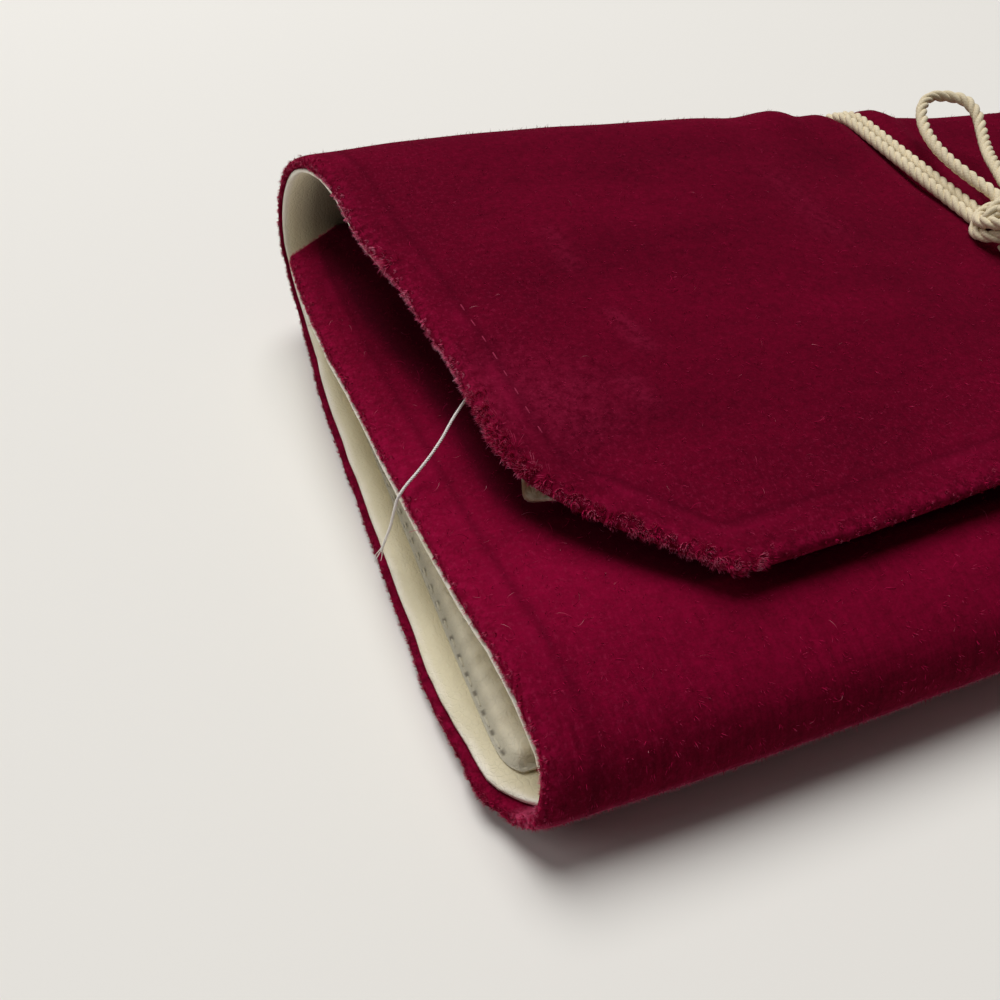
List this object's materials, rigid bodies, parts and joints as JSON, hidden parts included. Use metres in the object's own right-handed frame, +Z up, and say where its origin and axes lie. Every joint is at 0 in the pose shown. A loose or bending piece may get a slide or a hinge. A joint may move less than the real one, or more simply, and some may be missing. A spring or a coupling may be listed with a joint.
{
  "type": "jewelry roll",
  "caption": "Soft folded jewelry roll: a lined velvet sheet folded in three with a cut-cornered flap, tied round the middle with a twisted cord bow.",
  "frame": {"origin": "on the table under the middle of the cover's box, with the tie cord left out", "axes": "+X along the folds to the right end, +Y from the front fold to the rolled back edge, +Z up from the base to the flap"},
  "size_m": [0.2021, 0.1159, 0.0347],
  "materials": {
    "velvet": "wine-red velvet with a short cut pile and frayed cut edges",
    "lining": "smooth soft cream lining leather with a low sheen",
    "cord": "twisted cream cotton cord",
    "thread": "fine pale sewing thread"
  },
  "bodies": {
    "root": {"velvet_cover": "velvet", "lining": "lining", "pocket_panel": "lining", "tie_turn_left": "cord", "tie_turn_right": "cord", "bow_loop_back": "cord", "bow_loop_side": "cord", "tie_tail_front": "cord", "tie_tail_side": "cord", "bow_knot": "cord", "loose_thread": "thread"}
  },
  "joints": []
}
